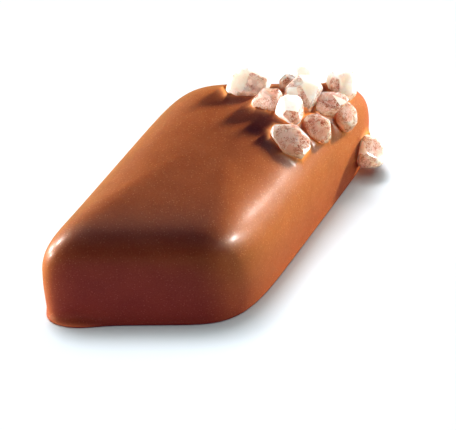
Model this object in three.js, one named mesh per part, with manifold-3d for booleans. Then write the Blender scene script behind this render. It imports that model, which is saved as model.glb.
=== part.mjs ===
// A coated milk chocolate: a rhomboid block with soft shoulders and a flat underside,
// and coarse clear crystals set in its coat at the back right end.
// Millimetres, +Z up. The origin is the middle of the underside, and +X runs along the front edge.
import * as THREE from 'three';
import { ConvexGeometry } from 'three/addons/geometries/ConvexGeometry.js';
import { mergeVertices } from 'three/addons/utils/BufferGeometryUtils.js';
import Module from 'manifold-3d';

// The chocolate block
const shortSide = 22; // the front and back edges, along X
const longSide = 33.8; // the two slanting edges
const cornerAngle = THREE.MathUtils.degToRad(62); // between a short and a long edge
const height = 12.1;
const planPower = 6.2; // squareness of the outline: a higher power makes tighter corners
const crownPower = 4.3; // how far out the top stays level before it falls away
const frontCrownPower = 8; // the same over the front edge, where the top stays level for longer
const frontNarrowing = 0.55; // how much shorter the shoulder is over the front edge than over the sides
const shoulderPower = 2.4; // how round the shoulder turns into the side
const sideFlare = 0.042; // share of its width that the block gains from the foot up
const footFlare = 0.006; // share of its width that the foot stands out
const footHeight = 0.6;
const lipAngle = THREE.MathUtils.degToRad(-117); // the coat ran out at the foot near the front left corner
const lipSpread = THREE.MathUtils.degToRad(11);
const lipStand = 0.026; // share of the block's width
const lipUp = 0.25;
const lipHeight = 0.55;
const waistStand = 0.01; // above the lip the side is a little hollow
const waistUp = 1.7;
const waistHeight = 0.9;
const restInset = 0.02; // share of its width by which the flat underside is smaller than the foot

// The grid of the block's surface
const outlineSteps = 112;
const sideRings = 9;
const shoulderRings = 15;
const shoulderStart = 0.5; // share of the height where the shoulder's rings begin
const footCrowding = 2.2; // how much closer the rings lie near the foot
const topCrowding = 2.6; // and near the top

// The crystals
const gap = 0.3; // clearance between a crystal and the chocolate, and between two crystals
const viewElevation = THREE.MathUtils.degToRad(40); // the reaches are seen from the front, this far above
const sideLean = THREE.MathUtils.degToRad(16); // a side facet leans by up to this much
const bevelSlope = THREE.MathUtils.degToRad(48); // slope of the facets between a side and the front or back
const bevelSpread = THREE.MathUtils.degToRad(12); // how much that slope and its direction vary
const bevelDepth = [0.78, 0.92]; // share of the full corner that a bevel leaves

// Tolerances
const sameVertex = 1e-5;
const sameCorner = 1e-3;
const onFacet = 1e-6;
const nearlyParallel = 1e-3; // smallest volume that three facet normals must span to meet in a corner

// across and along place a crystal's middle on the block's two edge directions, and up is its height.
// reach is how far it goes to eight sides, counter-clockwise from the right, and front and back are
// its half thicknesses. turn gives the yaw to the right and the pitch upwards of its main face in degrees.
const crystals = [
  {
    name: 'crystal_back_left', across: -1.4, along: 11.0, up: 11.8,
    reach: [2.4, 2.0, 1.3, 1.6, 2.4, 2.3, 1.6, 1.9], front: 1.3, back: 1.5, turn: [-10, 20],
  },
  {
    name: 'crystal_left', across: 2.6, along: 6.8, up: 12.0,
    reach: [1.5, 1.8, 1.5, 1.3, 1.5, 1.3, 1.5, 1.5], front: 0.9, back: 1.4, turn: [-20, -5],
  },
  {
    name: 'crystal_white_plate', across: 5.7, along: 5.0, up: 12.5,
    reach: [1.5, 1.8, 1.6, 1.6, 1.5, 1.3, 1.7, 1.7], front: 0.8, back: 1.5, turn: [18, 24],
  },
  {
    name: 'crystal_slab', across: 5.7, along: 8.7, up: 12.1,
    reach: [2.1, 1.8, 1.8, 1.7, 2.0, 1.5, 2.2, 1.5], front: 0.7, back: 1.5, turn: [15, 10],
  },
  {
    name: 'crystal_small', across: 2.6, along: 11.7, up: 11.3,
    reach: [0.8, 0.9, 0.8, 0.8, 0.7, 0.8, 1.0, 0.8], front: 0.7, back: 0.8, turn: [0, 15],
  },
  {
    name: 'crystal_back_tip', across: 3.5, along: 13.1, up: 11.6,
    reach: [0.9, 0.8, 0.8, 0.8, 0.9, 1.2, 1.9, 1.4], front: 0.8, back: 0.9, turn: [10, 20],
  },
  {
    name: 'crystal_horned', across: 8.0, along: 12.5, up: 10.7,
    reach: [1.3, 1.6, 1.3, 1.8, 1.3, 1.6, 1.8, 1.6], front: 0.9, back: 1.1, turn: [10, 0],
  },
  {
    name: 'crystal_lying', across: 8.3, along: 8.2, up: 11.0,
    reach: [2.2, 2.3, 1.2, 1.1, 2.2, 2.2, 1.2, 1.2], front: 0.8, back: 1.2, turn: [10, 30],
  },
  {
    name: 'crystal_right', across: 10.1, along: 8.4, up: 9.3,
    reach: [1.1, 1.2, 1.4, 1.3, 1.1, 1.1, 1.4, 1.3], front: 1.0, back: 1.3, turn: [30, 20],
  },
  {
    name: 'crystal_middle', across: 8.9, along: 4.4, up: 10.5,
    reach: [1.3, 1.2, 1.3, 1.6, 1.3, 1.1, 1.3, 1.8], front: 0.9, back: 1.3, turn: [15, 0],
  },
  {
    name: 'crystal_front', across: 7.5, along: 1.0, up: 11.1,
    reach: [2.0, 1.6, 1.8, 2.2, 2.0, 1.2, 1.8, 2.0], front: 1.0, back: 1.6, turn: [0, 25],
  },
  {
    name: 'crystal_low_right', across: 12.0, along: 10.8, up: 3.0,
    reach: [1.4, 1.1, 1.8, 1.9, 1.4, 1.9, 1.8, 2.2], front: 1.1, back: 1.2, turn: [35, 10],
  },
];

const chocolateFinish = new THREE.MeshStandardMaterial({ color: 0x9a5a38, roughness: 0.35, metalness: 0 });
const crystalFinish = new THREE.MeshStandardMaterial({ color: 0xe6cdbf, roughness: 0.15, metalness: 0 });

// manifold-3d only joins and cuts
const wasm = await Module();
wasm.setup();

function toSolid(geometry) {
  const bare = geometry.clone();
  bare.deleteAttribute('normal');
  bare.deleteAttribute('uv');
  const merged = mergeVertices(bare, sameVertex);
  const triVerts = new Uint32Array(merged.index.array);
  const vertProperties = merged.attributes.position.array;
  return new wasm.Manifold(new wasm.Mesh({ numProp: 3, vertProperties, triVerts }));
}

function toGeometry(solid) {
  const mesh = solid.getMesh();
  const geometry = new THREE.BufferGeometry();
  geometry.setAttribute('position', new THREE.BufferAttribute(new Float32Array(mesh.vertProperties), 3));
  geometry.setIndex(new THREE.BufferAttribute(new Uint32Array(mesh.triVerts), 1));
  geometry.computeVertexNormals();
  return geometry;
}

// A point given along the block's two edge directions, in the part's frame
function skewed(across, along, up) {
  const x = across + along * Math.cos(cornerAngle);
  const y = along * Math.sin(cornerAngle);
  return new THREE.Vector3(x, y, up);
}

function bump(x) {
  return Math.exp(-(x ** 2));
}

// Directions round the block, from -180 to 180 degrees
function angleOf(step) {
  return (2 * Math.PI * step) / outlineSteps - Math.PI;
}

// The block's outline at one height: a superellipse on the two edge directions, scaled by share
function outlinePoint(step, share, up) {
  const angle = angleOf(step);
  const c = Math.abs(Math.cos(angle));
  const s = Math.abs(Math.sin(angle));
  const radius = share * (c ** planPower + s ** planPower) ** (-1 / planPower);
  return skewed((shortSide / 2) * radius * Math.cos(angle), (longSide / 2) * radius * Math.sin(angle), up);
}

// Share of the full outline that the block has at a share of its height, in one direction. The block widens
// a little from the foot up and closes over the shoulder, later and more sharply over the front edge
function shareAt(rise, step) {
  const angle = angleOf(step);
  const up = rise * height;
  const c = Math.abs(Math.cos(angle)) ** planPower;
  const s = Math.abs(Math.sin(angle)) ** planPower;
  const front = angle < 0 ? s / (c + s) : 0;
  const crown = crownPower + (frontCrownPower - crownPower) * front;
  const gone = 1 - (1 - rise ** crown) ** (1 / shoulderPower);
  const closing = 1 - gone * (1 + (frontNarrowing - 1) * front) ** (1 - gone);
  const foot = footFlare * bump(up / footHeight);
  const lip = lipStand * bump((up - lipUp) / lipHeight);
  const waist = waistStand * bump((up - waistUp) / waistHeight);
  const atLip = bump((angle - lipAngle) / lipSpread);
  return (1 + sideFlare * rise) * closing + foot + atLip * (lip - waist);
}

// Heights of the rings from the underside's rim to just short of the top's middle, as shares of the height
function riseList() {
  const rises = [0];
  for (let ring = 1; ring <= sideRings; ring += 1) {
    rises.push(shoulderStart * (ring / sideRings) ** footCrowding);
  }
  for (let ring = 1; ring < shoulderRings; ring += 1) {
    const closing = 1 - ring / shoulderRings;
    rises.push(shoulderStart + (1 - shoulderStart) * (1 - closing ** topCrowding));
  }
  return rises;
}

function blockGeometry() {
  const rises = riseList();
  const points = [new THREE.Vector3(0, 0, 0)];
  rises.forEach((rise) => {
    const inset = rise === 0 ? restInset : 0;
    for (let step = 0; step < outlineSteps; step += 1) {
      points.push(outlinePoint(step, shareAt(rise, step) - inset, rise * height));
    }
  });
  points.push(new THREE.Vector3(0, 0, height));
  const top = points.length - 1;
  const corner = (ring, step) => 1 + ring * outlineSteps + (step % outlineSteps);
  const faces = [];
  for (let step = 0; step < outlineSteps; step += 1) {
    faces.push(0, corner(0, step + 1), corner(0, step));
    faces.push(top, corner(rises.length - 1, step), corner(rises.length - 1, step + 1));
    for (let ring = 0; ring + 1 < rises.length; ring += 1) {
      faces.push(corner(ring, step), corner(ring, step + 1), corner(ring + 1, step + 1));
      faces.push(corner(ring, step), corner(ring + 1, step + 1), corner(ring + 1, step));
    }
  }
  const geometry = new THREE.BufferGeometry().setFromPoints(points);
  geometry.setIndex(faces);
  return geometry;
}

// A repeatable row of numbers from 0 to 1
function seededNumbers(seed) {
  let state = seed;
  return () => {
    state = (state * 1664525 + 1013904223) % 4294967296;
    return state / 4294967296;
  };
}

// A direction given to the right, upwards and towards the front as that raised view sees them
function viewed(right, up, front) {
  const y = up * Math.sin(viewElevation) - front * Math.cos(viewElevation);
  const z = up * Math.cos(viewElevation) + front * Math.sin(viewElevation);
  return new THREE.Vector3(right, y, z);
}

function facing(angle, slope) {
  return viewed(Math.cos(angle) * Math.cos(slope), Math.sin(angle) * Math.cos(slope), Math.sin(slope));
}

// The facets of a crystal as planes: an outward normal and its distance from the crystal's middle
function facetsOf(crystal, seed) {
  const random = seededNumbers(seed);
  const either = (size) => size * (2 * random() - 1);
  const [yaw, pitch] = crystal.turn.map(THREE.MathUtils.degToRad);
  const mainFace = viewed(Math.sin(yaw) * Math.cos(pitch), Math.sin(pitch), Math.cos(yaw) * Math.cos(pitch));
  const backFace = mainFace.clone().negate();
  const facets = [{ normal: mainFace, distance: crystal.front }, { normal: backFace, distance: crystal.back }];
  crystal.reach.forEach((reach, side) => {
    const angle = (side * 2 * Math.PI) / crystal.reach.length;
    const lean = either(sideLean);
    facets.push({ normal: facing(angle, lean), distance: reach * Math.cos(lean) });
    const inFront = side % 2 === 0;
    const thickness = inFront ? crystal.front : crystal.back;
    const slope = bevelSlope + either(bevelSpread);
    const kept = THREE.MathUtils.lerp(bevelDepth[0], bevelDepth[1], random());
    facets.push({
      normal: facing(angle + either(bevelSpread), inFront ? slope : -slope),
      distance: kept * (reach * Math.cos(slope) + thickness * Math.sin(slope)),
    });
  });
  return facets;
}

// Where three facets meet inside all the others
function cornersOf(facets) {
  const corners = [];
  const turned = new THREE.Matrix3();
  for (let i = 0; i < facets.length; i += 1) {
    for (let j = i + 1; j < facets.length; j += 1) {
      for (let k = j + 1; k < facets.length; k += 1) {
        const [a, b, c] = [facets[i], facets[j], facets[k]];
        turned.set(...a.normal.toArray(), ...b.normal.toArray(), ...c.normal.toArray());
        if (Math.abs(turned.determinant()) < nearlyParallel) continue;
        const corner = new THREE.Vector3(a.distance, b.distance, c.distance).applyMatrix3(turned.invert());
        const inside = facets.every((facet) => facet.normal.dot(corner) < facet.distance + onFacet);
        const fresh = corners.every((other) => other.distanceTo(corner) > sameCorner);
        if (inside && fresh) corners.push(corner);
      }
    }
  }
  return corners;
}

function grown(facets, extra) {
  return facets.map(({ normal, distance }) => ({ normal, distance: distance + extra }));
}

function placedSolid(facets, middle) {
  const corners = cornersOf(facets).map((corner) => corner.add(middle));
  return toSolid(new ConvexGeometry(corners));
}

// Two crystals that would meet are parted by a plane between them, shared out by their sizes
function partNeighbours(stones) {
  stones.forEach((stone, index) => {
    stones.slice(index + 1).forEach((other) => {
      const near = placedSolid(grown(stone.facets, gap), stone.middle);
      if (near.intersect(placedSolid(other.facets, other.middle)).volume() <= 0) return;
      const towards = other.middle.clone().sub(stone.middle);
      const apart = towards.length();
      towards.divideScalar(apart);
      const away = towards.clone().negate();
      const mine = Math.max(...cornersOf(stone.facets).map((corner) => corner.dot(towards)));
      const theirs = Math.max(...cornersOf(other.facets).map((corner) => corner.dot(away)));
      const meeting = (apart * mine) / (mine + theirs);
      stone.facets.push({ normal: towards, distance: meeting - gap / 2 });
      other.facets.push({ normal: away, distance: apart - meeting - gap / 2 });
    });
  });
}

const stones = crystals.map((crystal, index) => ({
  name: crystal.name,
  middle: skewed(crystal.across, crystal.along, crystal.up),
  facets: facetsOf(crystal, index + 1),
}));
partNeighbours(stones);

const praline = new THREE.Group();

let block = toSolid(blockGeometry());
stones.forEach((stone) => {
  block = block.subtract(placedSolid(grown(stone.facets, gap), stone.middle));
  const mesh = new THREE.Mesh(new ConvexGeometry(cornersOf(stone.facets)), crystalFinish);
  mesh.name = stone.name;
  mesh.position.copy(stone.middle);
  praline.add(mesh);
});

// The pockets can leave a loose flake between two crystals: only the block itself is kept
const [wholeBlock] = block.decompose().sort((one, two) => two.volume() - one.volume());
const chocolate = new THREE.Mesh(toGeometry(wholeBlock), chocolateFinish);
chocolate.name = 'chocolate';
praline.add(chocolate);

export default praline;
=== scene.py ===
import math

import bpy
import numpy as np
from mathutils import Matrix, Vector


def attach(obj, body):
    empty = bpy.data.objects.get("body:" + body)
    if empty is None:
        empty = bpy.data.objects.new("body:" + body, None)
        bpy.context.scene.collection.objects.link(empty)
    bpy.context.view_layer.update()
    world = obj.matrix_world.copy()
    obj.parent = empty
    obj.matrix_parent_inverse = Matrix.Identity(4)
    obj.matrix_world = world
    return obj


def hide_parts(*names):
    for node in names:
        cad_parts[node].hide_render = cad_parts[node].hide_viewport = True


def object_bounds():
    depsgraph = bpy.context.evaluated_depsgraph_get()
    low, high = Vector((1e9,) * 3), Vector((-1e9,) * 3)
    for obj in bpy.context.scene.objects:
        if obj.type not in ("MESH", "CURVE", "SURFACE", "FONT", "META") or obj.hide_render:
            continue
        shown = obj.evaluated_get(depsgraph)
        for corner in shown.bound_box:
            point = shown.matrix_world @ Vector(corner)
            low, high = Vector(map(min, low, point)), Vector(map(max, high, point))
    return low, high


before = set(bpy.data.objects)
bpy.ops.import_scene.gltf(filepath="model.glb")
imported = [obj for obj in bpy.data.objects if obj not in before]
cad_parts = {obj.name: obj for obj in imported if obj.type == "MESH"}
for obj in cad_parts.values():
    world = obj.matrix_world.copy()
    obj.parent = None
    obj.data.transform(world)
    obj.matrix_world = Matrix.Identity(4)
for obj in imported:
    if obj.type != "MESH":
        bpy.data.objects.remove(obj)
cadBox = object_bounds()
print("frame loaded")

mm = 0.001

camera = {
    "elevation": 40.0,
    "distance": 250 * mm,
    "target": (0, 0, 6.05 * mm),
    "aimRight": 1.588 * mm,  # the block stands a little left of the middle and above it
    "aimUp": -3.146 * mm,
    "lens": 188.07,
    "sensorWidth": 36.0,
    "nearest": 0.01,
    "farthest": 10.0,
}


def makeCamera(s):
    # stands in front of the block and looks along +Y, down by the elevation
    e = math.radians(s["elevation"])
    back = Vector((0, -math.cos(e), math.sin(e)))
    up = Vector((0, math.sin(e), math.cos(e)))
    data = bpy.data.cameras.new("camera")
    data.lens = s["lens"]
    data.sensor_width = s["sensorWidth"]
    data.clip_start = s["nearest"]
    data.clip_end = s["farthest"]
    holder = bpy.data.objects.new("camera", data)
    holder.location = Vector(s["target"]) + back * s["distance"]
    aim = Vector(s["target"]) + Vector((1, 0, 0)) * s["aimRight"] + up * s["aimUp"]
    holder.rotation_mode = "QUATERNION"
    holder.rotation_quaternion = (aim - holder.location).to_track_quat("-Z", "Y")
    bpy.context.scene.collection.objects.link(holder)
    bpy.context.scene.camera = holder


makeCamera(camera)
print("camera placed")


def gridMesh(name, rings, closing):
    # rings is (rings, columns, 3), counter-clockwise from above and going up; each ring closes on itself.
    # closing holds the two points that shut the first and the last ring
    count, columns = rings.shape[:2]
    points = np.vstack([rings.reshape(-1, 3), closing])
    ring = np.arange(count - 1)[:, None] * columns
    column = np.arange(columns)[None, :]
    after = (column + 1) % columns
    quads = np.stack([ring + column, ring + after, ring + columns + after, ring + columns + column], -1)
    quads = quads.reshape(-1, 4)
    first = count * columns
    rim = np.arange(columns)
    nextOnRim = (rim + 1) % columns
    below = np.stack([np.full(columns, first), nextOnRim, rim], -1)
    last = (count - 1) * columns
    above = np.stack([np.full(columns, first + 1), last + rim, last + nextOnRim], -1)
    mesh = bpy.data.meshes.new(name)
    faces = quads.tolist() + below.tolist() + above.tolist()
    mesh.from_pydata(points.tolist(), [], faces)
    mesh.polygons.foreach_set("use_smooth", np.ones(len(mesh.polygons), bool))
    mesh.update()
    return mesh


def addPiece(name, mesh, material, node):
    piece = bpy.data.objects.new(name, mesh)
    mesh.materials.append(material)
    bpy.context.scene.collection.objects.link(piece)
    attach(piece, "root")
    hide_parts(node)
    return piece


def pointValues(mesh, name, values):
    # one number per vertex, for a material to read
    attribute = mesh.attributes.new(name, "FLOAT", "POINT")
    attribute.data.foreach_set("value", values.astype(np.float32).ravel())


def insideCadBox(points):
    # keeps the visual model just inside the CAD model's box
    margin = 0.01 * mm
    return np.clip(points, np.array(cadBox[0]) + margin, np.array(cadBox[1]) - margin)


def smoothStep(low, high, x):
    t = np.clip((x - low) / (high - low), 0, 1)
    return t * t * (3 - 2 * t)


def bump(x):
    return np.exp(-x * x)


class Nodes:
    # short calls for building a material's nodes
    def __init__(self, name):
        self.material = bpy.data.materials.new(name)
        self.material.use_nodes = True
        self.tree = self.material.node_tree
        self.shader = self.tree.nodes["Principled BSDF"]
        self.place = self.add("ShaderNodeTexCoord").outputs["Object"]

    def add(self, kind, **values):
        node = self.tree.nodes.new(kind)
        for key, value in values.items():
            setattr(node, key, value)
        return node

    def join(self, source, target):
        self.tree.links.new(source, target)

    def noise(self, size, detail=2.0, roughness=0.5, distortion=0.0):
        # size is the width of one patch in metres
        node = self.add("ShaderNodeTexNoise")
        self.join(self.place, node.inputs["Vector"])
        node.inputs["Scale"].default_value = 1 / size
        node.inputs["Detail"].default_value = detail
        node.inputs["Roughness"].default_value = roughness
        node.inputs["Distortion"].default_value = distortion
        return node.outputs["Fac"]

    def cells(self, size):
        # distance from the nearest of many scattered points, in units of their spacing
        node = self.add("ShaderNodeTexVoronoi", feature="F1")
        self.join(self.place, node.inputs["Vector"])
        node.inputs["Scale"].default_value = 1 / size
        return node.outputs["Distance"]

    def ramp(self, source, low, high, outLow=0.0, outHigh=1.0):
        node = self.add("ShaderNodeMapRange", interpolation_type="SMOOTHSTEP")
        self.join(source, node.inputs["Value"])
        node.inputs["From Min"].default_value = low
        node.inputs["From Max"].default_value = high
        node.inputs["To Min"].default_value = outLow
        node.inputs["To Max"].default_value = outHigh
        return node.outputs["Result"]

    def mixColour(self, share, one, two):
        node = self.add("ShaderNodeMix", data_type="RGBA")
        for value, socket in ((share, node.inputs[0]), (one, node.inputs[6]), (two, node.inputs[7])):
            if isinstance(value, bpy.types.NodeSocket):
                self.join(value, socket)
            else:
                socket.default_value = (*value, 1)
        return node.outputs[2]

    def maths(self, operation, one, two=0.0, clamp=False):
        node = self.add("ShaderNodeMath", operation=operation, use_clamp=clamp)
        for value, socket in ((one, node.inputs[0]), (two, node.inputs[1])):
            if isinstance(value, bpy.types.NodeSocket):
                self.join(value, socket)
            else:
                socket.default_value = value
        return node.outputs[0]

    def attribute(self, name):
        return self.add("ShaderNodeAttribute", attribute_name=name).outputs["Fac"]

    def relief(self, height, distance, strength):
        node = self.add("ShaderNodeBump")
        self.join(height, node.inputs["Height"])
        node.inputs["Distance"].default_value = distance
        node.inputs["Strength"].default_value = strength
        return node.outputs["Normal"]


crystalNames = [
    "crystal_back_left", "crystal_left", "crystal_white_plate", "crystal_slab", "crystal_small",
    "crystal_back_tip", "crystal_horned", "crystal_lying", "crystal_right", "crystal_middle",
    "crystal_front", "crystal_low_right",
]


def facetsOf(node):
    # outward normals and distances of a convex solid's planes, from its triangles, about its middle
    mesh = node.data
    points = np.empty(len(mesh.vertices) * 3)
    mesh.vertices.foreach_get("co", points)
    points = points.reshape(-1, 3)
    mesh.calc_loop_triangles()
    corners = np.empty(len(mesh.loop_triangles) * 3, int)
    mesh.loop_triangles.foreach_get("vertices", corners)
    a, b, c = points[corners.reshape(-1, 3)].transpose(1, 0, 2)
    middle = (points.min(0) + points.max(0)) / 2
    normal = np.cross(b - a, c - a)
    size = np.linalg.norm(normal, axis=1)
    sound = size > 1e-11  # slivers have no sure normal
    normal = normal[sound] / size[sound, None]
    distance = ((a[sound] - middle) * normal).sum(1)
    # triangles of one facet share their normal to three decimals
    _, first = np.unique(np.round(normal, 3), axis=0, return_index=True)
    return middle, normal[first], distance[first]


crystalFacets = {name: facetsOf(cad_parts[name]) for name in crystalNames}
print("crystal facets read")

block = {
    "shortSide": 22 * mm,
    "longSide": 33.8 * mm,
    "cornerAngle": 62.0,
    "height": 12.1 * mm,
    "planPower": 6.2,
    "crownPower": 4.3,
    "frontCrownPower": 8.0,
    "shoulderPower": 2.4,
    "frontNarrowing": 0.55,  # how much shorter the shoulder is over the front edge than over the sides
    "lipAngle": -117.0,  # the foot has run out a little at the left end of the front edge
    "lipSpread": 11.0,
    "lipStand": 0.026,
    "lipUp": 0.25 * mm,
    "lipHeight": 0.55 * mm,
    "waistStand": 0.010,  # and the side is a little hollow above it
    "waistUp": 1.7 * mm,
    "waistHeight": 0.9 * mm,
    "sideFlare": 0.042,
    "footFlare": 0.006,
    "footHeight": 0.6 * mm,
    "restInset": 0.02,
    "columns": 400,
    "rings": 232,
    "outlineSteps": 4000,
    "profileSteps": 6000,
    "fineFrom": -18.0,  # the columns stand closer between these two angles, where the crystals lie
    "fineTo": 118.0,
    "fineEdge": 12.0,
    "fineShare": 2.6,
    "middleReach": 13 * mm,  # about how far the outline is from the middle
    "topFineShare": 0.9,  # the rings stand closer on the outer part of the top
    "topFineAt": 0.8,
    "topFineWidth": 0.3,
    "pocketInside": 0.12 * mm,  # how far inside a crystal's lower face its pocket's floor lies
    "pocketDeepest": 6 * mm,
    "pocketFrom": 0.02 * mm,  # a pocket starts this far outside its crystal
    "pocketFull": -0.28 * mm,  # and has its full depth this far inside
    "rimHeight": 0.48 * mm,
    "rimReach": 0.42 * mm,
    "rimWidth": 0.3 * mm,
}


def besideLip(angle, s):
    # 1 at the lip's place on the outline and 0 away from it
    return bump((angle - math.radians(s["lipAngle"])) / math.radians(s["lipSpread"]))


def shareAt(rise, angle, s):
    # how much of its full outline the block has at a share of its height: it widens a little from the foot up
    # and closes over the shoulder as a superellipse, sooner and more sharply over the front edge. The foot
    # stands out a little all round, and more at the lip
    up = rise * s["height"]
    c = np.abs(np.cos(angle)) ** s["planPower"]
    d = np.abs(np.sin(angle)) ** s["planPower"]
    front = d / (c + d) * (np.sin(angle) < 0)
    crown = s["crownPower"] + (s["frontCrownPower"] - s["crownPower"]) * front
    gone = 1 - np.clip(1 - rise**crown, 0, 1) ** (1 / s["shoulderPower"])
    narrowing = 1 + (s["frontNarrowing"] - 1) * front
    closing = 1 - gone * narrowing ** (1 - gone)
    foot = s["footFlare"] * bump(up / s["footHeight"])
    lip = s["lipStand"] * bump((up - s["lipUp"]) / s["lipHeight"])
    waist = s["waistStand"] * bump((up - s["waistUp"]) / s["waistHeight"])
    return (1 + s["sideFlare"] * rise) * closing + foot + besideLip(angle, s) * (lip - waist)


def blockPoints(angle, share, up, s):
    # a superellipse on two slanting edge directions, scaled by share: across runs along X, and along at the
    # corner angle to it
    corner = math.radians(s["cornerAngle"])
    c = np.cos(angle)
    d = np.sin(angle)
    radius = share * (np.abs(c) ** s["planPower"] + np.abs(d) ** s["planPower"]) ** (-1 / s["planPower"])
    across = s["shortSide"] / 2 * radius * c
    along = s["longSide"] / 2 * radius * d
    x = across + along * math.cos(corner)
    y = along * math.sin(corner)
    return np.stack([x, y, up + 0 * x], -1)


def walkedLength(points):
    # length of a line of points up to each of them
    return np.concatenate([[0], np.cumsum(np.linalg.norm(np.diff(points, axis=0), axis=1))])


def crowded(values, weight, count):
    # count samples of values, closer together where weight is high
    total = np.concatenate([[0], np.cumsum((weight[1:] + weight[:-1]) / 2 * np.abs(np.diff(values)))])
    return np.interp(np.linspace(0, total[-1], count), total, values)


def blockGrid(s):
    # the columns follow the outline's own length
    fine = np.radians(np.linspace(-180, 180, s["outlineSteps"] + 1))
    edge = math.radians(s["fineEdge"])
    low = math.radians(s["fineFrom"])
    high = math.radians(s["fineTo"])
    inFine = smoothStep(low - edge, low + edge, fine) * (1 - smoothStep(high - edge, high + edge, fine))
    length = walkedLength(blockPoints(fine, 1.0, 0.0, s))
    spot = crowded(length, 1 + s["fineShare"] * inFine, s["columns"] + 1)[:-1]
    angle = np.interp(spot, length, fine)
    # the rings follow the profile's length. The samples crowd towards the flat middle of the top
    rise = 1 - (1 - np.linspace(0, 1, s["profileSteps"] + 1)) ** 3
    share = shareAt(rise, 0.0, s)
    length = walkedLength(np.stack([share * s["middleReach"], rise * s["height"]], -1))
    onTop = bump((share - s["topFineAt"]) / s["topFineWidth"]) * (rise > 0.5)
    stop = crowded(length, 1 + s["topFineShare"] * onTop, s["rings"] + 1)[:-1]
    rise = np.interp(stop, length, rise)
    share = shareAt(rise[:, None], angle[None, :], s)
    share[0] -= s["restInset"]
    return angle, rise, share


def heightOverCoat(points, s):
    # how far points lie outside the plain block, about along its normal
    x, y, z = points.T
    corner = math.radians(s["cornerAngle"])
    along = y / math.sin(corner)
    across = x - along * math.cos(corner)
    a = across / (s["shortSide"] / 2)
    b = along / (s["longSide"] / 2)
    radius = (np.abs(a) ** s["planPower"] + np.abs(b) ** s["planPower"]) ** (1 / s["planPower"])
    rise = np.clip(z / s["height"], 0, 1.4)
    outline = radius / (1 + s["sideFlare"] * rise)
    full = (outline ** s["shoulderPower"] + rise ** s["crownPower"]) ** (1 / s["crownPower"])
    return (full - 1) * s["height"]


def surfaceNormals(points):
    # crossed differences along the rings and up the columns
    along = np.roll(points, -1, axis=1) - np.roll(points, 1, axis=1)
    up = np.gradient(points, axis=0)
    normal = np.cross(along, up)
    return normal / np.maximum(np.linalg.norm(normal, axis=-1, keepdims=True), 1e-12)


def coatRelief(points, normal, s):
    # height of the coat over the plain block, along the normal. Where the line through a point crosses a
    # crystal, it goes down to just inside the crystal's lower face. Round a crystal it climbs in a thin rim
    rim = np.zeros(points.shape[:2])
    depth = np.zeros(points.shape[:2])
    for name in crystalNames:
        middle, facets, distances = crystalFacets[name]
        offset = points - middle
        outside = (offset @ facets.T - distances).max(-1)  # about the distance from the crystal
        inward = -(normal @ facets.T)
        room = distances - offset @ facets.T
        # how far inwards the line leaves the crystal. A facet that it never meets counts as a metre away
        leaving = np.where(inward > 1e-6, room / np.maximum(inward, 1e-6), 1.0).min(-1)
        sink = np.clip(leaving - s["pocketInside"], 0, s["pocketDeepest"])
        sink *= smoothStep(s["pocketFrom"], s["pocketFull"], outside)
        depth = np.maximum(depth, sink)
        near = np.exp(-np.maximum(outside, 0) / s["rimReach"]) * smoothStep(-s["rimWidth"], 0, outside)
        rim = np.maximum(rim, near)
    height = s["rimHeight"] * rim * (1 - smoothStep(0, s["rimWidth"], depth)) - depth
    return height, rim


def makeBlock(s, material):
    angle, rise, share = blockGrid(s)
    up = rise[:, None] * s["height"]
    points = blockPoints(angle[None, :], share, up, s)
    normal = surfaceNormals(points)
    height, rim = coatRelief(points, normal, s)
    points = insideCadBox(points + normal * height[..., None])
    points[0, :, 2] = 0
    closing = np.array([[0, 0, 0], [0, 0, s["height"]]])
    mesh = gridMesh("chocolateCoat", points, closing)
    # the rim and lip places, which the material paints with a lighter orange glow for light shining through
    # the crystals and the thin chocolate
    pointValues(mesh, "rim", np.concatenate([rim.ravel(), [0, 0]]))
    lipPaintedGlowMask = besideLip(angle, s)[None, :] * bump(up / s["lipHeight"])
    pointValues(mesh, "lip", np.concatenate([lipPaintedGlowMask.ravel(), [0, 0]]))
    return addPiece("chocolate_coat", mesh, material, "chocolate")


crystal = {
    "firstSeed": 40,
    "around": 200,
    "upwards": 100,
    "edgePower": 40.0,  # how sharp the edges between facets are
    "grow": 0.24 * mm,
    "ownGrow": {"crystal_white_plate": 0.04 * mm, "crystal_front": 0.18 * mm},
    "chips": 26,
    "chipReach": (0.97, 1.02),
    "scoops": 5,
    "scoopWidth": (0.2, 0.45),
    "scoopDepth": (0.01, 0.035),
    "rippleDepth": 0.16,
    "ripples": (26, 44),
    # how frosted each stone is as a whole, from glassy to white
    "frost": {
        "crystal_back_left": 0.5, "crystal_left": 0.2, "crystal_white_plate": 0.7, "crystal_slab": 0.7,
        "crystal_small": 0.4, "crystal_back_tip": 0.9, "crystal_horned": 0.85, "crystal_lying": 0.3,
        "crystal_right": 0.12, "crystal_middle": 0.15, "crystal_front": 0.25, "crystal_low_right": 0.5,
    },
    "facetFrost": (0.35, 1.65),  # between which shares of it the facets differ
    "scoopFrost": 0.2,
    # the side on which one face is frosted white
    "whiteFace": {
        "crystal_white_plate": (0.22, -0.42, 0.88), "crystal_slab": (0.2, -0.6, 0.77),
        "crystal_lying": (-0.2, -0.5, 0.84), "crystal_front": (0.3, -0.75, 0.6),
    },
    "whiteShare": 1.3,
    # a notch between two horns: its place across the stone, its width and its depth
    "notched": {"crystal_horned": (-0.12, 0.3, 0.17)},
    "notchUp": (0.2, 0.85),  # it deepens between these heights of the direction from the stone's middle
    "sunkReach": 1.1 * mm,  # up to here over the coat a stone lets the chocolate shine through
}


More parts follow.
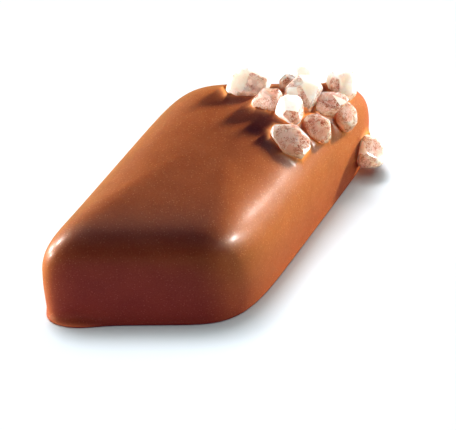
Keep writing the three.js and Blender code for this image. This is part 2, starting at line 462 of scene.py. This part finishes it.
def crystalMesh(name, seed, s):
    # the distance from the middle in each direction is a power mean of the distances to the facets and to
    # many small random chips, less a few shallow rippled scoops
    middle, facets, distances = crystalFacets[name]
    random = np.random.default_rng(seed)
    tilt = (np.arange(s["upwards"]) + 0.5) / s["upwards"] * np.pi - np.pi / 2
    turn = np.arange(s["around"]) / s["around"] * 2 * np.pi
    level, around = np.meshgrid(tilt, turn, indexing="ij")
    way = np.stack([np.cos(level) * np.cos(around), np.cos(level) * np.sin(around), np.sin(level)], -1)
    way = np.concatenate([way.reshape(-1, 3), [[0, 0, -1], [0, 0, 1]]])

    def reachOf(directions, normals, lengths):
        facing = np.maximum(directions @ normals.T, 0) / lengths
        return (facing ** s["edgePower"]).sum(-1) ** (-1 / s["edgePower"])

    lengths = distances + s["ownGrow"].get(name, s["grow"])
    cuts = random.normal(size=(s["chips"], 3))
    cuts /= np.linalg.norm(cuts, axis=1, keepdims=True)
    cutLengths = reachOf(cuts, facets, lengths) * random.uniform(*s["chipReach"], s["chips"])
    allFacets = np.vstack([facets, cuts])
    allLengths = np.concatenate([lengths, cutLengths])
    reach = reachOf(way, allFacets, allLengths)
    frost = np.zeros(len(way))
    for _ in range(s["scoops"]):
        spot = random.normal(size=3)
        spot /= np.linalg.norm(spot)
        away = np.arccos(np.clip(way @ spot, -1, 1))
        width = random.uniform(*s["scoopWidth"])
        depth = random.uniform(*s["scoopDepth"])
        hollow = bump((away / width) ** 2)
        ripple = 1 + s["rippleDepth"] * np.sin(away * random.uniform(*s["ripples"]) + random.uniform(0, 6))
        reach *= 1 - depth * ripple * hollow
        frost += random.uniform(-1, 1) * hollow
    if name in s["notched"]:
        place, width, depth = s["notched"][name]
        reach *= 1 - depth * bump((way[:, 0] - place) / width) * smoothStep(*s["notchUp"], way[:, 2])
    points = insideCadBox(middle + way * reach[:, None])
    rings = points[:-2].reshape(s["upwards"], s["around"], 3)
    mesh = gridMesh(name, rings, points[-2:])
    # each facet has its own share of frosting and its own tone
    facing = ((way @ allFacets.T) / allLengths).argmax(-1)
    share = s["frost"][name] * random.uniform(*s["facetFrost"], len(allFacets))
    tone = random.uniform(0, 1, len(allFacets))
    if name in s["whiteFace"]:
        white = (facets @ np.array(s["whiteFace"][name])).argmax()
        share[white] = s["whiteShare"]
        tone[white] = 1.0
    pointValues(mesh, "frost", np.clip(share[facing] + s["scoopFrost"] * frost, 0, 1))
    pointValues(mesh, "tone", tone[facing])
    # depth in the coat: 1 at the coat and below, 0 from the reach on up
    pointValues(mesh, "sunk", 1 - smoothStep(0, s["sunkReach"], heightOverCoat(points, block)))
    return mesh


milkChocolate = {
    "dark": (0.41, 0.127, 0.034),
    "light": (0.45, 0.142, 0.039),
    "cloudSize": 2.6 * mm,
    "grain": (0.56, 0.22, 0.085),
    "grainSize": 0.16 * mm,
    "grainShare": 0.3,
    "speck": (0.74, 0.38, 0.19),
    "speckSpacing": 0.32 * mm,
    "speckShare": 0.45,
    "rim": (0.90, 0.36, 0.09),  # painted glow: the thin coat round the crystals and at the lip is painted lighter and more orange, for light shining through the crystals and the thin chocolate
    "lip": (0.95, 0.38, 0.13),
    "paintedGlowShare": 0.8,
    "roughness": (0.42, 0.52),
    "roughnessSize": 0.9 * mm,
    "waveSize": 0.5 * mm,
    "reliefHeight": 0.02 * mm,
    "reliefStrength": 0.6,
}


def chocolateFinish(s):
    n = Nodes("milk_chocolate")
    cloud = n.noise(s["cloudSize"], 3, 0.55)
    grain = n.noise(s["grainSize"], 2, 0.6)
    speck = n.cells(s["speckSpacing"])
    colour = n.mixColour(n.ramp(cloud, 0.3, 0.7), s["dark"], s["light"])
    colour = n.mixColour(n.ramp(grain, 0.4, 0.7, 0, s["grainShare"]), colour, s["grain"])
    colour = n.mixColour(n.ramp(speck, 0.26, 0.08, 0, s["speckShare"]), colour, s["speck"])
    # painted glow: the rims round the crystals and the lip at the foot are painted lighter and more orange,
    # for light shining through
    colour = n.mixColour(n.ramp(n.attribute("rim"), 0.1, 0.9, 0, s["paintedGlowShare"]), colour, s["rim"])
    colour = n.mixColour(n.ramp(n.attribute("lip"), 0.15, 0.9, 0, s["paintedGlowShare"]), colour, s["lip"])
    n.join(colour, n.shader.inputs["Base Color"])
    rough = n.ramp(n.noise(s["roughnessSize"], 3, 0.6), 0.3, 0.7, *s["roughness"])
    n.join(rough, n.shader.inputs["Roughness"])
    height = n.maths("ADD", n.maths("MULTIPLY", grain, 0.5), n.noise(s["waveSize"]))
    n.join(n.relief(height, s["reliefHeight"], s["reliefStrength"]), n.shader.inputs["Normal"])
    n.shader.inputs["IOR"].default_value = 1.46
    n.shader.inputs["Subsurface Weight"].default_value = 0.2
    n.shader.inputs["Subsurface Radius"].default_value = (1.0, 0.35, 0.14)
    n.shader.inputs["Subsurface Scale"].default_value = 0.5 * mm
    n.shader.inputs["Coat Weight"].default_value = 0.25
    n.shader.inputs["Coat Roughness"].default_value = 0.25
    n.shader.inputs["Coat IOR"].default_value = 1.5
    return n.material


clearCrystal = {
    "paleFacet": (1.0, 0.79, 0.72),
    "clearFacet": (0.92, 0.61, 0.52),
    "reliefSize": 0.8 * mm,
    "reliefHeight": 0.03 * mm,
    "reliefStrength": 0.3,
    "fleck": (0.44, 0.18, 0.11),
    "fleckSize": 0.26 * mm,
    "fleckGroupSize": 0.9 * mm,
    "fleckOnPale": 0.7,  # how strong the flecks are on the palest facets
    "crack": (1.0, 0.93, 0.87),
    "crackSpacing": 1.3 * mm,
    "crackShare": 0.8,
    "frosted": (0.94, 0.83, 0.76),
    "white": (0.96, 0.91, 0.85),
    "sunk": (0.80, 0.42, 0.22),
    "sunkShares": (0.75, 0.15),  # on clear and on frosted facets
    # colour of the painted highlight where a facet is seen side-on
    "edge": (1.0, 0.94, 0.88),
    "paintedEdgeShineShare": 0.8,
    "roughness": (0.08, 0.4),
    "transmission": 0.35,
}


def crystalFinish(s):
    n = Nodes("clear_crystal")
    # pale pink and cloudy, with brown flecks of chocolate seen through the clearer facets, wavering cracks,
    # white frosting on some facets and a painted highlight: a lighter colour where the surface turns away
    # from the view
    fine = n.noise(s["reliefSize"], 3, 0.55)
    n.join(n.relief(fine, s["reliefHeight"], s["reliefStrength"]), n.shader.inputs["Normal"])
    patch = n.maths("ADD", n.attribute("frost"), n.ramp(fine, 0.3, 0.7, -0.15, 0.15), clamp=True)
    clear = n.ramp(n.attribute("tone"), 0.8, 0.2)
    colour = n.mixColour(clear, s["paleFacet"], s["clearFacet"])
    streaks = n.ramp(n.noise(s["fleckSize"], 4, 0.7, 1.6), 0.45, 0.56)
    fleck = n.maths("MULTIPLY", streaks, n.ramp(n.noise(s["fleckGroupSize"]), 0.4, 0.55))
    fleck = n.maths("MULTIPLY", fleck, n.ramp(patch, 0.2, 0.9, 1.0, 0.0))
    strength = n.maths("ADD", n.maths("MULTIPLY", clear, 1 - s["fleckOnPale"]), s["fleckOnPale"])
    colour = n.mixColour(n.maths("MULTIPLY", fleck, strength), colour, s["fleck"])
    # a crack runs where a slow noise crosses its middle value
    bend = n.maths("ABSOLUTE", n.maths("SUBTRACT", n.noise(s["crackSpacing"], 4, 0.6, 1.2), 0.5))
    colour = n.mixColour(n.ramp(bend, 0.004, 0.035, s["crackShare"], 0), colour, s["crack"])
    colour = n.mixColour(n.ramp(patch, 0.4, 0.85), colour, s["frosted"])
    colour = n.mixColour(n.ramp(patch, 0.85, 1), colour, s["white"])
    sunk = n.maths("MULTIPLY", n.attribute("sunk"), n.ramp(patch, 0.2, 1, *s["sunkShares"]))
    colour = n.mixColour(sunk, colour, s["sunk"])
    # painted highlight: the colour turns lighter towards surfaces seen side-on
    edge = n.add("ShaderNodeLayerWeight")
    edge.inputs["Blend"].default_value = 0.35
    paintedEdgeShine = n.ramp(edge.outputs["Facing"], 0.55, 0.95, 0, s["paintedEdgeShineShare"])
    n.join(n.mixColour(paintedEdgeShine, colour, s["edge"]), n.shader.inputs["Base Color"])
    n.join(n.ramp(patch, 0.1, 0.9, *s["roughness"]), n.shader.inputs["Roughness"])
    n.join(n.ramp(patch, 0.1, 0.9, s["transmission"], 0.0), n.shader.inputs["Transmission Weight"])
    n.shader.inputs["IOR"].default_value = 1.54
    n.shader.inputs["Subsurface Weight"].default_value = 0.9
    n.shader.inputs["Subsurface Radius"].default_value = (1.0, 0.75, 0.62)
    n.shader.inputs["Subsurface Scale"].default_value = 2.5 * mm
    return n.material


chocolate = makeBlock(block, chocolateFinish(milkChocolate))
print("chocolate block made")
stoneFinish = crystalFinish(clearCrystal)
crystals = []
for i, name in enumerate(crystalNames):
    mesh = crystalMesh(name, crystal["firstSeed"] + i, crystal)
    crystals.append(addPiece(name + "_stone", mesh, stoneFinish, name))
print("crystals made")

studio = {
    "floorSide": 0.5,
    "floorDrop": 0.01 * mm,
    "floorColour": (0.80, 0.86, 0.90),
    # the light thrown back in front of the block is dim and purplish, and beside it brighter and golden
    "frontBounce": (0.35, 0.165, 0.33),
    "sideBounce": (0.30, 0.36, 0.18),
    "bounceFrom": 8 * mm,  # the change from one to the other, measured across the block
    "bounceTo": 18 * mm,
    "lampCentre": (0, 0, 6 * mm),
    # azimuth from +Y towards +X, elevation, distance, width and height in degrees, brightness, what it
    # lights, and whether it gives matt light, shine or both
    "lamps": {
        "key": (51, 16.5, 0.5, 7, 7, 425.0, "part", "matt"),
        "keyShine": (62, 16, 0.5, 12, 10, 58.0, "part", "shine"),
        "rightShine": (100, 20, 0.5, 8, 8, 185.0, "part", "shine"),
        "leftShine": (-66, 31, 0.5, 10, 8, 180.0, "part", "shine"),
        "topShine": (0, 72, 0.5, 50, 24, 0.8, "part", "shine"),
        "rightFront": (106, 4, 0.5, 12, 6, 62.0, "part", "matt"),
        "rightLow": (88, 6, 0.5, 16, 12, 8.0, "part", "both"),
        "backGlow": (-35, 6, 0.5, 50, 10, 0.7, "part", "both"),
        "left": (-68, 5, 0.5, 20, 6, 110.0, "part", "both"),
        "leftFront": (-95, 4, 0.5, 12, 7, 130.0, "part", "both"),
        "overhead": (0, 68, 0.5, 50, 30, 0.35, "part", "matt"),
        "stoneFront": (205, 35, 0.5, 40, 40, 3.6, "stones", "both"),
        "stoneBack": (-30, 45, 0.5, 40, 40, 0.15, "stones", "both"),
        "floorLamp": (-42, 74, 4.0, 21, 21, 16.3, "floor", "both"),
        "floorSky": (0, 90, 4.0, 70, 70, 1.6, "floor", "both"),
    },
    "tints": {
        "overhead": (1.0, 0.8, 1.2), "stoneFront": (1.0, 0.93, 0.88),
        "stoneBack": (1.0, 0.95, 0.9), "floorSky": (0.96, 1.0, 1.02),
    },
    "ambient": 0.02,
    "behindCrystals": (1.0, 0.84, 0.74),
    "behindBright": 2.5,
    "gamma": 0.8,
    "greenCurve": [(0.02, 0.01), (0.052, 0.040), (0.125, 0.117), (0.2, 0.2)],
}


def makeFloor(s):
    half = s["floorSide"] / 2
    mesh = bpy.data.meshes.new("floor")
    outline = ((-half, -half), (half, -half), (half, half), (-half, half))
    mesh.from_pydata([(x, y, -s["floorDrop"]) for x, y in outline], [], [(0, 1, 2, 3)])
    ground = bpy.data.objects.new("floor", mesh)
    n = Nodes("paleFloor")
    # white to the camera and through the crystals, and darker to the light that it throws back on the part
    path = n.add("ShaderNodeLightPath")
    seen = n.maths("MAXIMUM", path.outputs["Is Camera Ray"], path.outputs["Is Transmission Ray"])
    across = n.add("ShaderNodeVectorMath", operation="DOT_PRODUCT")
    corner = math.radians(block["cornerAngle"])
    n.join(n.place, across.inputs[0])
    across.inputs[1].default_value = (math.sin(corner), -math.cos(corner), 0)
    beside = n.ramp(n.maths("ABSOLUTE", across.outputs["Value"]), s["bounceFrom"], s["bounceTo"])
    bounce = n.mixColour(beside, s["frontBounce"], s["sideBounce"])
    n.join(n.mixColour(seen, bounce, s["floorColour"]), n.shader.inputs["Base Color"])
    n.shader.inputs["Roughness"].default_value = 0.9
    n.shader.inputs["Specular IOR Level"].default_value = 0.0
    mesh.materials.append(n.material)
    bpy.context.scene.collection.objects.link(ground)
    return ground


def makeLamps(s, floor, chocolate, crystals):
    # a lamp lights only its own group
    groups = {"part": [chocolate, *crystals], "stones": crystals, "floor": [floor]}
    lit = {}
    for group, members in groups.items():
        lit[group] = bpy.data.collections.new("lit " + group)
        for member in members:
            lit[group].objects.link(member)
    for name, (azimuth, elevation, distance, wide, high, bright, group, kind) in s["lamps"].items():
        a = math.radians(azimuth)
        e = math.radians(elevation)
        way = Vector((math.sin(a) * math.cos(e), math.cos(a) * math.cos(e), math.sin(e)))
        data = bpy.data.lights.new(name, "AREA")
        data.shape = "RECTANGLE"
        data.size = 2 * distance * math.tan(math.radians(wide / 2))
        data.size_y = 2 * distance * math.tan(math.radians(high / 2))
        data.energy = bright * math.pi * data.size * data.size_y
        data.color = s["tints"].get(name, (1, 1, 1))
        lamp = bpy.data.objects.new(name, data)
        lamp.location = way * distance + Vector(s["lampCentre"])
        lamp.rotation_mode = "QUATERNION"
        lamp.rotation_quaternion = (-way).to_track_quat("-Z", "Y")
        lamp.visible_camera = False
        lamp.visible_diffuse = kind != "shine"
        lamp.visible_glossy = kind != "matt"
        lamp.light_linking.receiver_collection = lit[group]
        bpy.context.scene.collection.objects.link(lamp)


def makeWorld(s):
    # dim to the chocolate, white to the camera, so that the view past the floor's edge stays pale, and a warm
    # white behind the clear crystals
    world = bpy.data.worlds.new("studio")
    world.use_nodes = True
    tree = world.node_tree
    path = tree.nodes.new("ShaderNodeLightPath")
    shader = tree.nodes["Background"]
    shader.inputs["Color"].default_value = (1, 1, 1, 1)
    shader.inputs["Strength"].default_value = s["ambient"]
    behind = ("Is Transmission Ray", s["behindCrystals"], s["behindBright"])
    for ray, colour, bright in (behind, ("Is Camera Ray", (1, 1, 1), 1.0)):
        light = tree.nodes.new("ShaderNodeBackground")
        light.inputs["Color"].default_value = (*colour, 1)
        light.inputs["Strength"].default_value = bright
        mix = tree.nodes.new("ShaderNodeMixShader")
        tree.links.new(path.outputs[ray], mix.inputs[0])
        tree.links.new(shader.outputs[0], mix.inputs[1])
        tree.links.new(light.outputs[0], mix.inputs[2])
        shader = mix
    tree.links.new(shader.outputs[0], tree.nodes["World Output"].inputs["Surface"])
    bpy.context.scene.world = world


def setView(s):
    # the shades turn purplish: green falls off faster than red and blue below the middle tones
    view = bpy.context.scene.view_settings
    view.view_transform = "Standard"
    view.gamma = s["gamma"]
    view.use_curve_mapping = True
    green = view.curve_mapping.curves[1]
    for before, after in s["greenCurve"]:
        green.points.new(before, after)
    view.curve_mapping.update()


floor = makeFloor(studio)
makeLamps(studio, floor, chocolate, crystals)
makeWorld(studio)
setView(studio)
print("floor and lights set")
